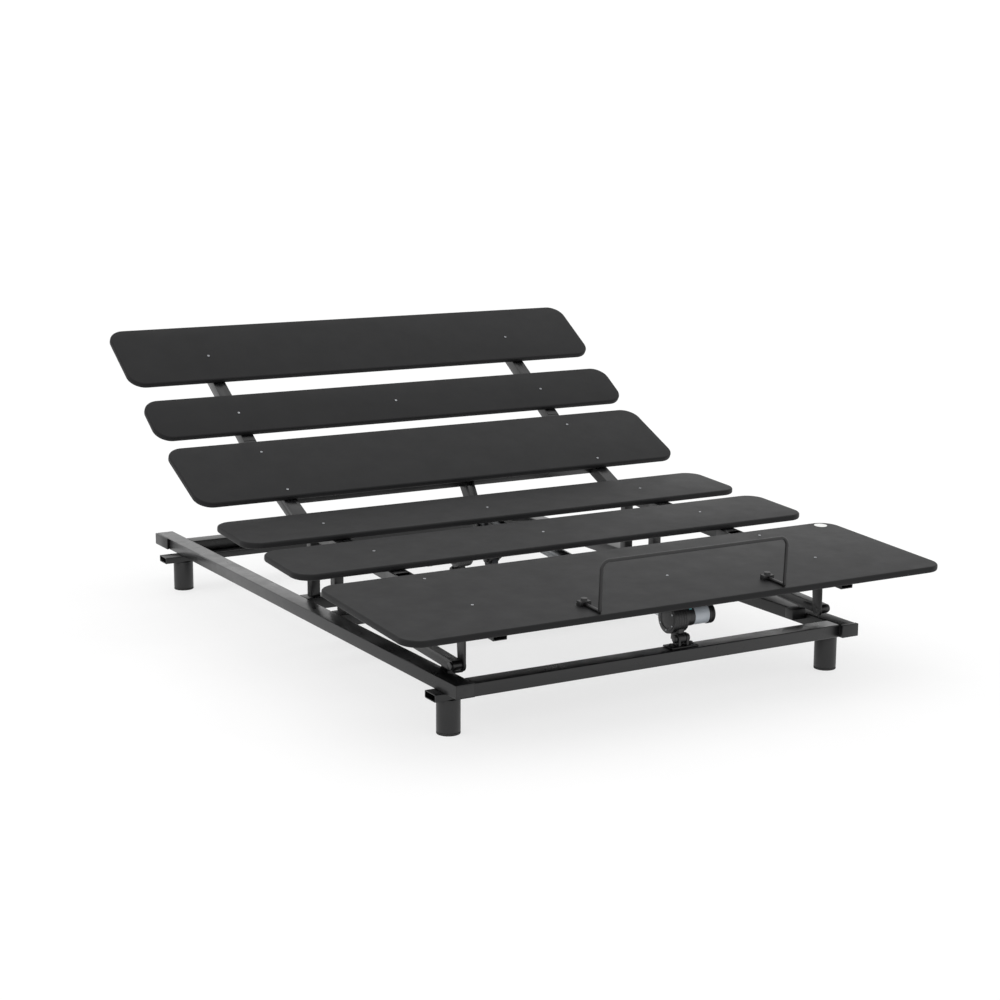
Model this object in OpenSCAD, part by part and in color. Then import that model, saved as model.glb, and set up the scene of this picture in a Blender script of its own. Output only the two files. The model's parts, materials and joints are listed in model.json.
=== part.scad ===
// Adjustable bed base: a low steel frame that carries six deck boards on a
// hinged sub-frame. Two spindle actuators lift the back and the knees.
// Millimetres, +Z up, +Y towards the head end, +X to the right of a sleeper's view from the foot.

/* [Deck boards] */
// Width of every board
board_w = 1500; // [1300:10:1700]
// Thickness of every board
board_t = 16; // [12:1:20]
// Corner radius of every board
board_corner_r = 48; // [10:1:60]
// Depth of the head board, foremost end of the back
head_board_d = 238; // [180:1:250]
// Depth of the upper back board
upper_back_board_d = 157; // [120:1:165]
// Depth of the lumbar board
lumbar_board_d = 268; // [200:1:272]
// Depth of the seat board
seat_board_d = 227; // [180:1:236]
// Depth of the thigh board
thigh_board_d = 236; // [180:1:246]
// Depth of the calf board
calf_board_d = 461; // [380:1:560]

/* [Rest posture] */
// Fall of the flat deck towards the foot, degrees
deck_fall = 3.2; // [0:0.1:4]
// Height of the deck plane above the foot rail's front face
deck_z = 291.2; // [280:0.1:330]
// Slope of the lumbar section at rest, degrees
lumbar_slope = 24; // [20:0.5:26]
// Slope of the back section at rest, degrees
back_slope = 32.5; // [30:0.5:36]

/* [Hinge line positions] */
// Knee hinge, from the foot rail's front face
knee_y = 386.7; // [370:0.1:420]
// Seat front hinge, from the foot rail's front face
seat_front_y = 698.7; // [680:0.1:730]
// Seat rear hinge, from the foot rail's front face
seat_rear_y = 967.3; // [960:0.1:990]
// Length of the lumbar section between its hinges
lumbar_l = 358; // [352:1:380]
// Gap from the back hinge to the upper back board
back_gap = 42; // [36:1:60]
// Gap between the upper back board and the head board
board_gap = 69; // [50:1:90]
// Gap from a seat hinge to the edge of the seat board
seat_gap = 31; // [26:1:40]
// Gap from the knee hinge to the calf board
knee_gap = 44; // [40:1:50]

/* [Sub-frame tubes] */
// Distance of the long tubes from the centre line
tube_x = 489; // [440:1:500]
// Height of the long tubes
tube_h = 30; // [26:1:34]
// Width of the seat tubes, each hinge steps down from it
tube_w = 40; // [36:1:46]
// Width lost at each hinge
tube_step = 2; // [2:0.5:4]
// Wall of every tube
wall = 2; // [1.5:0.5:3]
// Side of the square cross tubes
cross_s = 26; // [20:1:30]

/* [Base frame] */
// Outer width of the frame
frame_w = 1136; // [1100:2:1200]
// Length of the side rails
rail_l = 1829; // [1700:1:1950]
// Width of the rails
rail_w = 50; // [40:1:60]
// Height of the rails
rail_h = 32; // [28:1:40]
// Wall of the rails
rail_wall = 2; // [1.5:0.5:3]
// Distance of the head rail's rear face from the rails' head ends
head_rail_inset = 110; // [60:1:150]
// Height of the rails' top above the floor
rail_top_z = 134; // [120:1:160]

// Height of the inner rails' underside above the side rails' top
block_rise = 14; // [10:1:20]
// Place of the front posts under the seat, from the foot rail's front face
front_post_y = 765; // [758:1:800]
// Place of the front cross rail, which carries the inner rails and the control box
front_cross_y = 715; // [700:1:730]
// Place of the rear cross rail, which carries the rear posts and the knee actuator
rear_cross_y = 905; // [895:1:910]

/* [Legs] */
// Leg diameter
leg_d = 56; // [40:1:60]
// Leg wall
leg_wall = 3; // [2:0.5:6]
// Distance of the front legs from the foot rail's front face
leg_front_y = 80; // [60:1:120]
// Distance of the rear legs from the foot rail's front face
leg_rear_y = 1655; // [1500:1:1690]
// Distance of the rear legs from the centre line
leg_rear_x = 556; // [543:1:560]
// Height of the rubber glide under each leg
glide_h = 6; // [4:1:12]
// Height of the brace tube between the leg and the rail
brace_h = 18; // [14:1:24]
// How far the braces stick out past the left rail
brace_out = 22; // [0:1:40]

/* [Hinges] */
// Radius of a hinge pin
pin_r = 6; // [5:0.5:8]
// Radial running clearance of a pin in its bore
run_fit = 0.05; // [0.02:0.01:0.10]
// Thickness of a hinge plate
plate_t = 4; // [3:0.5:6]
// Width of a pin's head
pin_head_t = 4; // [3:0.5:6]

/* [Actuators] */
// Place of the head actuator across the width
head_act_x = 60; // [40:1:90]
// Place of the knee actuator across the width, left of the centre line
knee_act_x = 60; // [40:1:90]
// Length of the lever under the lumbar and thigh sections
lever_l = 80; // [70:1:85]
// Angle of the lumbar lever below the level, degrees
lumbar_lever_a = 75; // [70:1:80]
// Angle of the thigh lever below the level, degrees
thigh_lever_a = 72.5; // [70:0.5:75]
// Diameter of an actuator's outer tube
act_tube_d = 36; // [30:1:40]
// Diameter of an actuator's rod
rod_d = 22; // [16:1:24]
// Diameter of a motor
motor_d = 48; // [40:1:50]
// Length of a motor
motor_l = 69; // [64:1:80]
// Side play of the slot at a rod's end
slot_side = 1.8; // [1.6:0.1:3]
// Height play of the slot at a rod's end
slot_rise = 6; // [5.5:0.5:8]

/* [Foot end] */
// Outer width of the mattress retainer bar
bar_w = 526; // [400:2:700]
// Height of the mattress retainer bar above the deck
bar_h = 124; // [80:1:160]
// Diameter of the mattress retainer bar
bar_d = 8; // [6:0.5:10]
// Bend radius of the mattress retainer bar
bar_bend_r = 20; // [14:1:30]
// Length of the bar's foot along the deck
bar_foot_l = 78; // [50:1:120]
// Distance of the bar from the calf board's front edge
bar_setback = 16; // [10:1:40]
// Place of the support arms across the width
support_x = 521; // [519:1:524]
// Lower pivot of the support arms, from the foot rail's front face
support_y = 77; // [70:1:100]
// Height of the lower pivot of the support arms
support_z = 157; // [156:0.5:162]
// How far the support arms lean towards the foot at their top
arm_lean = -6; // [-20:1:30]
// Side of the square link arms
link_s = 24; // [20:1:26]

/* [Hidden] */
$fn = 48;
deck_h = board_t + tube_h / 2;
leg_x = frame_w / 2 - rail_w / 2;
leg_top_z = rail_top_z - rail_h - brace_h;
rail_mid_z = rail_top_z - rail_h / 2;
rail_in_x = frame_w / 2 - rail_w;
lumbar_w = tube_w - tube_step;
back_w = lumbar_w - tube_step;
hinge_gap = 22;
knuckle_r = tube_h / 2 - 1;
sub_z = rail_top_z + block_rise;
post_s = cross_s;
stud_r = 5;
clevis_rise = 20;
head_clevis = [30, rail_top_z + clevis_rise];
knee_clevis = [rear_cross_y, rail_top_z + clevis_rise];
screw_r = 3;
screw_head_r = 4.5;
screw_head_t = 3;
screw_l = board_t + wall + 8;
eye_t = 16;
fork_t = 6;
fork_gap = 0.5;
hole_fit = 0.05;
open_fit = 0.3;
slide_fit = 0.1;
board_clear = 4;

// Height of a hinge's centre under the flat deck at distance y
function deck_pivot(y) = deck_z + y * tan(deck_fall) - deck_h / cos(deck_fall);
knee = [knee_y, deck_pivot(knee_y)];
seat_front = [seat_front_y, deck_pivot(seat_front_y)];
seat_rear = [seat_rear_y, deck_pivot(seat_rear_y)];
function along(p, a, d) = [p[0] + d * cos(a), p[1] + d * sin(a)];
back_hinge = along(seat_rear, lumbar_slope, lumbar_l);
seat_l = (seat_rear_y - seat_front_y) / cos(deck_fall);
thigh_l = (seat_front_y - knee_y) / cos(deck_fall);
calf_board_v = knee_gap + calf_board_d / 2;
lumbar_board_v = lumbar_l - board_clear - lumbar_board_d / 2;
upper_back_v = back_gap + upper_back_board_d / 2;
head_board_v = back_gap + upper_back_board_d + board_gap + head_board_d / 2;
back_l = head_board_v + head_board_d / 2;
calf_l = knee_gap + calf_board_d;
lumbar_tip = along(seat_rear, -lumbar_lever_a, lever_l);
thigh_tip = along(seat_front, -thigh_lever_a, lever_l);
link_foot = [support_y, support_z];
link_head = link_foot + seat_front - knee;
// The origin is on the floor under the middle of the object's own box
foremost_y = knee_y - calf_l * cos(deck_fall) - deck_h * sin(deck_fall);
mid_y = (rail_l + foremost_y) / 2;

// Shared shapes ---------------------------------------------------------
module placed(c) {
    color(c) translate([0, -mid_y, 0]) children();
}
module both_sides(x) {
    translate([-x, 0, 0]) children();
    translate([x, 0, 0]) children();
}
// Tube along Y, centred in X and Z
module tube_y(l, w, h, t) {
    translate([-w / 2, 0, -h / 2]) difference() {
        cube([w, l, h]);
        translate([t, -1, t]) cube([w - 2 * t, l + 2, h - 2 * t]);
    }
}
// Tube along X, centred on the origin
module tube_x(l, w, h, t) {
    rotate([0, 0, 90]) translate([0, -l / 2, 0]) tube_y(l, w, h, t);
}
// Round bar along X, centred on the origin
module bar_x(r, l) {
    rotate([0, 90, 0]) cylinder(r = r, h = l, center = true);
}
module at_hinge(p, a) {
    translate([0, p[0], p[1]]) rotate([a, 0, 0]) children();
}
module on_seat() { at_hinge(seat_front, deck_fall) children(); }
module on_lumbar() { at_hinge(seat_rear, lumbar_slope) children(); }
module on_back() { at_hinge(back_hinge, back_slope) children(); }
module on_calf() { at_hinge(knee, deck_fall) children(); }
// Solid end of a tube that turns between two plates; dir says which way the tube leaves
module knuckle(w, dir) {
    difference() {
        union() {
            bar_x(knuckle_r, w);
            translate([-w / 2, dir > 0 ? 0 : -hinge_gap, -knuckle_r]) cube([w, hinge_gap, 2 * knuckle_r]);
        }
        bar_x(pin_r + run_fit, w + 2);
    }
}
// Pair of plates on a tube of width w; dir says which way the tube leaves
module plates(w, dir) {
    for (s = [-1, 1]) translate([s * (w + plate_t) / 2, 0, 0]) difference() {
        union() {
            bar_x(knuckle_r, plate_t);
            translate([-plate_t / 2, dir > 0 ? 0 : -hinge_gap - 40, -knuckle_r])
                cube([plate_t, hinge_gap + 40, 2 * knuckle_r]);
        }
        bar_x(pin_r, plate_t + 2);
    }
}
// Headed pin through two plates on a tube of width w
module hinge_pin(w) {
    l = w + 2 * plate_t;
    bar_x(pin_r, l);
    for (s = [-1, 1]) translate([s * (l + pin_head_t) / 2, 0, 0]) bar_x(pin_r + 4, pin_head_t);
}
// Places of the screws of a board: rows along the section, at the tubes
module screw_places(rows) {
    for (v = rows) both_sides(tube_x) translate([0, v, deck_h]) children();
}
module screw() {
    translate([0, 0, -screw_head_t]) cylinder(r = screw_head_r, h = screw_head_t);
    translate([0, 0, -screw_l]) cylinder(r = screw_r, h = screw_l - screw_head_t);
}
module screw_hole() {
    translate([0, 0, -screw_head_t]) cylinder(r = screw_head_r + hole_fit, h = screw_head_t + 1);
    translate([0, 0, -screw_l - 1]) cylinder(r = screw_r + hole_fit, h = screw_l + 1);
}
// Board with round corners, centred at v along its section
module board(d, v, rows) {
    r = board_corner_r;
    difference() {
        translate([0, v, deck_h - board_t]) linear_extrude(board_t) union() {
            square([board_w - 2 * r, d], center = true);
            square([board_w, d - 2 * r], center = true);
            for (x = [-1, 1], y = [-1, 1])
                translate([x * (board_w / 2 - r), y * (d / 2 - r)]) circle(r, $fn = 96);
        }
        screw_places(rows) screw_hole();
    }
}
// Tubes of a section from v0 to v1 with holes for its screws
module long_tubes(v0, v1, w, rows) {
    difference() {
        both_sides(tube_x) translate([0, v0, 0]) tube_y(v1 - v0, w, tube_h, wall);
        screw_places(rows) screw_hole();
    }
}
seat_rows = [seat_l / 2 + 10];
lumbar_rows = [lumbar_board_v - lumbar_board_d / 2 + 30, lumbar_board_v + lumbar_board_d / 2 - 55];
upper_rows = [upper_back_v];
head_rows = [head_board_v - 16];
thigh_rows = [-seat_gap - thigh_board_d * 0.47];
calf_rows = [-knee_gap - 48, -knee_gap - 275];

// Base frame ------------------------------------------------------------
module side_rail(s) {
    placed("#2a2a2c") translate([s * leg_x, 0, rail_mid_z]) tube_y(rail_l, rail_w, rail_h, rail_wall);
}
module side_rail_left() { side_rail(-1); }
module side_rail_right() { side_rail(1); }
module foot_rail() {
    placed("#2a2a2c") translate([0, rail_w / 2, rail_mid_z]) tube_x(2 * rail_in_x, rail_w, rail_h, rail_wall);
}
module head_rail() {
    placed("#2a2a2c") translate([0, rail_l - head_rail_inset - rail_w / 2, rail_mid_z])
        tube_x(2 * rail_in_x, rail_w, rail_h, rail_wall);
}
// Inner rails lie on risers on the front cross rail: link arms hinge at their front
// ends, and the front posts stand at their rear ends
inner_rail_y0 = link_head[0] - 14;
inner_rail_y1 = front_post_y + cross_s / 2;
module inner_rails() {
    placed("#242426") both_sides(tube_x) translate([0, inner_rail_y0, sub_z + cross_s / 2])
        tube_y(inner_rail_y1 - inner_rail_y0, cross_s, cross_s, wall);
}
module cross_rail(y) {
    translate([0, y, rail_mid_z]) tube_x(2 * rail_in_x, rail_w, rail_h, rail_wall);
}
module cross_rails() {
    placed("#242426") {
        cross_rail(front_cross_y);
        cross_rail(rear_cross_y);
    }
}
// Flat tube across two legs; its left end sticks out further
module brace(y, x, left, right) {
    placed("#242426") difference() {
        translate([(right - left) / 2, y, leg_top_z + brace_h / 2])
            tube_x(frame_w + left + right, rail_w, brace_h, rail_wall);
        both_sides(x) translate([0, y, leg_top_z - 1]) cylinder(r = stud_r + hole_fit, h = rail_wall + 2);
    }
}
module foot_brace() { brace(leg_front_y, leg_x, brace_out, 0); }
module head_brace() { brace(leg_rear_y, leg_rear_x, brace_out + 28, 20); }
module leg_places() {
    both_sides(leg_x) translate([0, leg_front_y, 0]) children();
    both_sides(leg_rear_x) translate([0, leg_rear_y, 0]) children();
}
module legs() {
    placed("#222224") leg_places() translate([0, 0, glide_h]) difference() {
        cylinder(d = leg_d, h = leg_top_z - glide_h, $fn = 96);
        translate([0, 0, -1]) cylinder(d = leg_d - 2 * leg_wall, h = leg_top_z - glide_h - 7, $fn = 96);
        cylinder(r = stud_r + hole_fit, h = leg_top_z);
    }
}
module leg_glides() {
    placed("#101010") leg_places() union() {
        cylinder(d = leg_d, h = glide_h, $fn = 96);
        cylinder(d = leg_d - 2 * leg_wall - 0.4, h = glide_h + 8, $fn = 96);
    }
}
// Threaded studs that hold each leg under its brace
module leg_studs() {
    placed("#8a8c8e") leg_places() union() {
        translate([0, 0, leg_top_z - 12]) cylinder(r = stud_r, h = 12 + rail_wall);
        translate([0, 0, leg_top_z - 18]) cylinder(r = 9, h = 6);
    }
}
end_block_t = 6;
end_block_l = 94;
foot_block_l = 12;
foot_block_out = 2;
// One block on each side rail's head end, and one across the right rail's foot end
module end_blocks() {
    placed("#262628") {
        both_sides((frame_w + end_block_t) / 2) translate([0, rail_l - end_block_l / 2, rail_mid_z])
            cube([end_block_t, end_block_l, rail_h], center = true);
        translate([leg_x + foot_block_out, -foot_block_l / 2, rail_mid_z])
            cube([rail_w, foot_block_l, rail_h], center = true);
    }
}
module rail_end_plugs() {
    placed("#141414") for (y = [1, rail_l - 1]) both_sides(leg_x) translate([0, y, rail_mid_z])
        cube([rail_w - 2 * rail_wall, 2, rail_h - 2 * rail_wall], center = true);
}
// Stub blocks on the side rails' inner faces, under the arms at the foot
block_l = rail_in_x - tube_x + cross_s / 2;
block_w = 30;
block_y = 146;
module rest_blocks() {
    placed("#1e1e20") {
        both_sides(rail_in_x - block_l / 2) translate([0, block_y, sub_z - block_rise])
            cube([block_l, block_w, 2 * block_rise], center = true);
        both_sides(tube_x) translate([0, front_cross_y, rail_top_z + block_rise / 2])
            cube([cross_s, rail_w, block_rise], center = true);
    }
}
// Posts at y that stand at height z and reach the seat tubes
module post_pair(y, z) {
    difference() {
        both_sides(tube_x) translate([0, y, z]) linear_extrude(deck_z) difference() {
            square(post_s, center = true);
            square(post_s - 2 * wall, center = true);
        }
        on_seat() translate([-frame_w, -frame_w, -tube_h / 2]) cube(2 * frame_w);
    }
}
module seat_posts() {
    placed("#242426") {
        post_pair(front_post_y, sub_z + cross_s);
        post_pair(rear_cross_y, rail_top_z);
    }
}
module seat_tubes() {
    placed("#2a2a2c") on_seat() union() {
        long_tubes(hinge_gap, seat_l - hinge_gap, tube_w, seat_rows);
        both_sides(tube_x) plates(tube_w, 1);
        both_sides(tube_x) translate([0, seat_l, 0]) plates(tube_w, -1);
    }
}
module seat_board() {
    placed("#3a3a3b") on_seat() board(seat_board_d, seat_gap + seat_board_d / 2, seat_rows);
}
module seat_screws() { placed("#55575a") on_seat() screw_places(seat_rows) screw(); }
// Lugs on the inner rails' outer faces for the link arms' head pins
inner_rail_out_x = tube_x + cross_s / 2;
lug_t = support_x - 8 - inner_rail_out_x;
lug_r = 14;
module link_brackets() {
    placed("#242426") both_sides(inner_rail_out_x + lug_t / 2) difference() {
        union() {
            translate([0, link_head[0], link_head[1]]) bar_x(lug_r, lug_t);
            translate([0, link_head[0], (sub_z + link_head[1]) / 2])
                cube([lug_t, 2 * lug_r, link_head[1] - sub_z], center = true);
        }
        translate([0, link_head[0], link_head[1]]) bar_x(pin_r, lug_t + 2);
    }
}
link_x = support_x + 5;
link_pin_end = link_x + link_s / 2 + 1;
link_pin_l = link_pin_end - inner_rail_out_x;
module base_pins() {
    placed("#6c6e70") {
        for (p = [seat_front, seat_rear]) both_sides(tube_x) translate([0, p[0], p[1]]) hinge_pin(tube_w);
        for (s = [-1, 1]) translate([0, link_head[0], link_head[1]]) union() {
            translate([s * (inner_rail_out_x + link_pin_l / 2), 0, 0]) bar_x(pin_r, link_pin_l);
            translate([s * (link_pin_end + pin_head_t / 2), 0, 0]) bar_x(pin_r + 4, pin_head_t);
        }
        clevis_pin(head_act_x, head_clevis);
        clevis_pin(-knee_act_x, knee_clevis);
    }
}
// Pin with a knob at each end, for an actuator's tail
knob_l = 6;
knob_r = pin_r + 3.5;
module clevis_pin(x, p) {
    w = eye_t + 2 * fork_gap + 2 * fork_t;
    translate([x, p[0], p[1]]) union() {
        bar_x(pin_r, w);
        for (s = [-1, 1]) translate([s * (w + knob_l) / 2, 0, 0]) bar_x(knob_r, knob_l);
    }
}
// Bracket of two ears on a foot plate, for an actuator's tail
ear_r = 13;
foot_plate = [76, 40, 4];
module clevis(x, p) {
    translate([x, p[0], p[1]]) difference() {
        union() {
            for (s = [-1, 1]) translate([s * (eye_t / 2 + fork_gap + fork_t / 2), 0, 0]) {
                bar_x(ear_r, fork_t);
                translate([-fork_t / 2, -ear_r, -clevis_rise]) cube([fork_t, 2 * ear_r, clevis_rise]);
            }
            translate([-foot_plate[0] / 2, -foot_plate[1] / 2, -clevis_rise]) cube(foot_plate);
        }
        bar_x(pin_r, foot_plate[0]);
    }
}
module head_actuator_bracket() { placed("#18181a") clevis(head_act_x, head_clevis); }
module knee_actuator_bracket() { placed("#18181a") clevis(-knee_act_x, knee_clevis); }
// Control unit fixed to the front cross rail's rear face
box_w = 170;
box_d = 120;
box_h = 42;
box_x = 170;
box_y = front_cross_y + rail_w / 2 + box_d / 2;
cover_t = 2.5;
inlet_size = [18, 28, 20];
inlet_hole = [12, 22, 14];
inlet_drop = 4;
module control_box() {
    placed("#1b1b1d") translate([box_x, box_y, rail_top_z - box_h / 2]) difference() {
        cube([box_w, box_d, box_h], center = true);
        translate([0, 0, -3]) cube([box_w - 2 * cover_t, box_d - 2 * cover_t, box_h], center = true);
        translate([-box_w / 2, 0, -inlet_drop])
            cube([4 * cover_t, inlet_size[1] + slide_fit, inlet_size[2] + slide_fit], center = true);
    }
}
module control_box_cover() {
    placed("#1b1b1d") translate([box_x, box_y, rail_top_z - box_h - cover_t / 2])
        cube([box_w, box_d, cover_t], center = true);
}
module power_inlet() {
    placed("#0e0e0e") translate([box_x - box_w / 2 + 6, box_y, rail_top_z - box_h / 2 - inlet_drop])
        difference() {
            cube(inlet_size, center = true);
            translate([-8, 0, 0]) cube(inlet_hole, center = true);
        }
}

// Lumbar section --------------------------------------------------------
module lumbar_tubes() {
    placed("#2a2a2c") on_lumbar() union() {
        both_sides(tube_x) knuckle(lumbar_w, 1);
        long_tubes(hinge_gap, lumbar_l - hinge_gap, lumbar_w, lumbar_rows);
        both_sides(tube_x) translate([0, lumbar_l, 0]) plates(lumbar_w, -1);
    }
}
// Lever of two plates from a cross tube at distance v down to the tip
root_r = 16;
tip_r = 12;
module lever(v, a) {
    tip = [lever_l * cos(a), lever_l * sin(a)];
    reach = norm([tip[0] - v, tip[1]]);
    turn = atan2(tip[1], tip[0] - v);
    for (s = [-1, 1]) translate([s * (eye_t / 2 + fork_gap) + (s - 1) * fork_t / 2, 0, 0]) difference() {
        rotate([90, 0, 90]) linear_extrude(fork_t) difference() {
            union() {
                translate([v, 0]) rotate(turn) polygon([[0, -root_r], [reach, -tip_r], [reach, tip_r], [0, root_r]]);
                translate(tip) circle(r = tip_r + 2);
            }
            translate(tip) circle(r = pin_r);
        }
        translate([0, v, 0]) cube([3 * fork_t, cross_s, cross_s], center = true);
    }
}
lever_v = 72;
lumbar_lever_v = 118;
cross_l = 2 * tube_x - lumbar_w;
module lumbar_cross_tube() {
    placed("#242426") on_lumbar() translate([0, lumbar_lever_v, 0]) tube_x(cross_l, cross_s, cross_s, wall);
}
module lumbar_lever() {
    placed("#242426") on_lumbar() translate([head_act_x, 0, 0])
        lever(lumbar_lever_v, -lumbar_lever_a - lumbar_slope);
}
module lumbar_pins() {
    placed("#6c6e70") {
        both_sides(tube_x) translate([0, back_hinge[0], back_hinge[1]]) hinge_pin(lumbar_w);
        clevis_pin(head_act_x, lumbar_tip);
    }
}
module lumbar_board() { placed("#3a3a3b") on_lumbar() board(lumbar_board_d, lumbar_board_v, lumbar_rows); }
module lumbar_screws() { placed("#55575a") on_lumbar() screw_places(lumbar_rows) screw(); }

// Back section ----------------------------------------------------------
module back_tubes() {
    placed("#2a2a2c") on_back() union() {
        both_sides(tube_x) knuckle(back_w, 1);
        long_tubes(hinge_gap, back_l - 30, back_w, concat(upper_rows, head_rows));
    }
}
module back_cross_tube() {
    placed("#242426") on_back() translate([0, head_board_v, 0])
        tube_x(2 * tube_x - back_w, cross_s, cross_s, wall);
}
module upper_back_board() { placed("#3a3a3b") on_back() board(upper_back_board_d, upper_back_v, upper_rows); }
module head_board() { placed("#3a3a3b") on_back() board(head_board_d, head_board_v, head_rows); }
module back_screws() { placed("#55575a") on_back() screw_places(concat(upper_rows, head_rows)) screw(); }

// Thigh section ---------------------------------------------------------
module thigh_tubes() {
    placed("#2a2a2c") on_seat() union() {
        both_sides(tube_x) knuckle(lumbar_w, -1);
        long_tubes(-thigh_l + hinge_gap, -hinge_gap, lumbar_w, thigh_rows);
        both_sides(tube_x) translate([0, -thigh_l, 0]) plates(lumbar_w, 1);
    }
}
module thigh_cross_tube() {
    placed("#242426") on_seat() translate([0, -lever_v, 0]) tube_x(cross_l, cross_s, cross_s, wall);
}
module thigh_lever() {
    placed("#242426") on_seat() translate([-knee_act_x, 0, 0]) lever(-lever_v, -thigh_lever_a - deck_fall);
}
module thigh_pins() {
    placed("#6c6e70") {
        both_sides(tube_x) translate([0, knee[0], knee[1]]) hinge_pin(lumbar_w);
        clevis_pin(-knee_act_x, thigh_tip);
    }
}
module thigh_board() {
    placed("#3a3a3b") on_seat() board(thigh_board_d, -seat_gap - board_clear - thigh_board_d / 2, thigh_rows);
}
module thigh_screws() { placed("#55575a") on_seat() screw_places(thigh_rows) screw(); }

// Calf section ----------------------------------------------------------
module calf_tubes() {
    placed("#2a2a2c") on_calf() union() {
        both_sides(tube_x) knuckle(back_w, -1);
        long_tubes(-calf_l + 60, -hinge_gap, back_w, calf_rows);
    }
}
module calf_cross_tube() {
    placed("#242426") on_calf() translate([0, -calf_l + 120, 0])
        tube_x(2 * tube_x - back_w, cross_s, cross_s, wall);
}
// Bent flat arm from the calf tube's outer face down to the link arm's end
arm_t = 6;
arm_half = 17;
arm_x = tube_x + back_w / 2 + arm_t / 2;
arm_top = [support_y - arm_lean, deck_pivot(support_y - arm_lean) + tube_h / 2 - 2];
arm_knee = [support_y - arm_lean - 4, support_z + 48];
arm_end_r = 16;
module support_arm_outline() {
    polygon([
        arm_top - [arm_half, 0], arm_top + [arm_half, 0], arm_knee + [arm_half, 0],
        link_foot + [arm_end_r - 1, 0], link_foot - [arm_end_r - 1, 0], arm_knee - [arm_half, 0]
    ]);
    translate(link_foot) circle(r = arm_end_r);
}
module support_arms() {
    placed("#1c1c1e") for (s = [-1, 1]) translate([s * arm_x - arm_t / 2, 0, 0]) rotate([90, 0, 90])
        linear_extrude(arm_t) difference() {
            support_arm_outline();
            translate(link_foot) circle(r = pin_r);
        }
}
support_pin_l = link_pin_end - arm_x + arm_t / 2;
module support_pins() {
    placed("#6c6e70") for (s = [-1, 1]) translate([s * (arm_x - arm_t / 2), support_y, support_z]) union() {
        translate([s * support_pin_l / 2, 0, 0]) bar_x(pin_r, support_pin_l);
        translate([s * (support_pin_l + pin_head_t / 2), 0, 0]) bar_x(pin_r + 4, pin_head_t);
    }
}
module calf_board() { placed("#3a3a3b") on_calf() board(calf_board_d, -calf_board_v, calf_rows); }
module calf_screws() { placed("#55575a") on_calf() screw_places(calf_rows) screw(); }
bar_r = bar_d / 2;
bar_v = -calf_l + bar_setback;
// Bar that keeps the mattress from sliding: two feet, two uprights and a top
module retainer_bar() {
    up_l = bar_h - bar_bend_r - bar_d;
    placed("#161617") on_calf() translate([0, bar_v, deck_h + bar_r]) union() {
        for (s = [-1, 1]) translate([s * (bar_w - bar_d) / 2, 0, 0]) {
            cylinder(r = bar_r, h = up_l);
            sphere(r = bar_r);
            rotate([-90, 0, 0]) cylinder(r = bar_r, h = bar_foot_l);
            translate([-s * bar_bend_r, 0, up_l]) rotate([90, 0, 0]) rotate([0, 0, s > 0 ? 0 : 90])
                rotate_extrude(angle = 90) translate([bar_bend_r, 0]) circle(r = bar_r, $fn = 32);
        }
        translate([0, 0, up_l + bar_bend_r]) bar_x(bar_r, bar_w - bar_d - 2 * bar_bend_r);
    }
}
// Saddles that clamp the bar's feet to the board
module retainer_clamps() {
    placed("#101011") on_calf() for (s = [-1, 1])
        translate([s * (bar_w - bar_d) / 2, bar_v + bar_foot_l - 12, deck_h]) difference() {
            union() {
                translate([-14, -9, 0]) cube([28, 18, bar_d + 3]);
                translate([0, 0, bar_d + 3]) cylinder(r = 8, h = 6);
            }
            translate([0, -10, bar_r]) rotate([-90, 0, 0]) cylinder(r = bar_r + hole_fit, h = 30);
            translate([-bar_r - hole_fit, -10, -1]) cube([bar_d + 2 * hole_fit, 30, bar_r + 1]);
        }
}
module label_disc() {
    placed("#e8e8e6") on_calf() translate([board_w / 2 - 46, -knee_gap - 30, deck_h])
        cylinder(r = 17, h = 0.6);
}

// Link arms: they keep the calf section level while the knees rise
link_way = link_head - link_foot;
link_l = norm(link_way);
link_tilt = atan2(link_way[1], link_way[0]);
link_in = link_s - 2 * wall;
link_plug = 16;
module link_arm() {
    difference() {
        union() {
            translate([-link_s / 2, 0, -link_s / 2]) cube([link_s, link_l, link_s]);
            bar_x(link_s / 2, link_s);
            translate([0, link_l, 0]) bar_x(link_s / 2, link_s);
        }
        bar_x(pin_r + open_fit, link_s + 2);
        translate([0, link_l, 0]) bar_x(pin_r + run_fit, link_s + 2);
        translate([-link_in / 2, link_plug, -link_in / 2]) cube([link_in, link_l - 2 * link_plug, link_in]);
    }
}
module link_arms() {
    placed("#2a2a2c") both_sides(link_x) translate([0, support_y, support_z])
        rotate([link_tilt, 0, 0]) link_arm();
}

// Actuators -------------------------------------------------------------
// Frame of an actuator: Y from its tail pin towards its lever, raised to the spindle's line
function act_angle(a, b) = atan2(b[1] - a[1], b[0] - a[0]);
module on_actuator(x, a, b) {
    translate([x, a[0], a[1]]) rotate([act_angle(a, b), 0, 0]) children();
}
module on_head_actuator() { on_actuator(head_act_x, head_clevis, lumbar_tip) children(); }
module on_knee_actuator() {
    translate([-knee_act_x, knee_clevis[0], knee_clevis[1]]) rotate([0, 0, 180])
        rotate([atan2(thigh_tip[1] - knee_clevis[1], knee_clevis[0] - thigh_tip[0]), 0, 0]) children();
}
head_act_l = norm(lumbar_tip - head_clevis);
knee_act_l = norm(thigh_tip - knee_clevis);
gear_w = 40;
gear_l = 62;
gear_up = 40;
spindle_up = 45;
gear_r = 36;
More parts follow.
